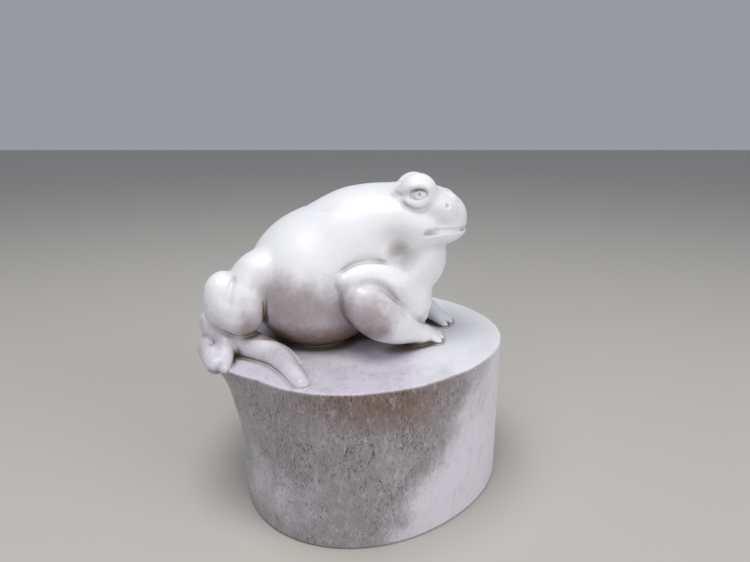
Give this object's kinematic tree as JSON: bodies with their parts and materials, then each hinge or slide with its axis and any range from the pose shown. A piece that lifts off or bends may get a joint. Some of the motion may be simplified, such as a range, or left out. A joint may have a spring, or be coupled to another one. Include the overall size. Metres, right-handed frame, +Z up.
{
  "type": "frog figurine",
  "caption": "Plump bullfrog sitting on a rounded column with a rear lip, carved in pale stone, for display on a flat surface.",
  "frame": {"origin": "middle of the bounding box, on the flat base that the column stands on", "axes": "+X is the way the frog looks, -Y is the frog's right side, +Z is up"},
  "size_m": [0.0699, 0.0666, 0.0721],
  "materials": {
    "frog_stone": "satin",
    "leg_stone": "satin",
    "column_stone": "satin"
  },
  "bodies": {
    "root": {"plinth": "column_stone", "torso": "frog_stone", "head": "frog_stone", "eye_right": "frog_stone", "eye_left": "frog_stone", "foreleg_right": "frog_stone", "foreleg_left": "frog_stone", "hindleg_right": "leg_stone", "hindleg_left": "leg_stone"}
  },
  "joints": []
}
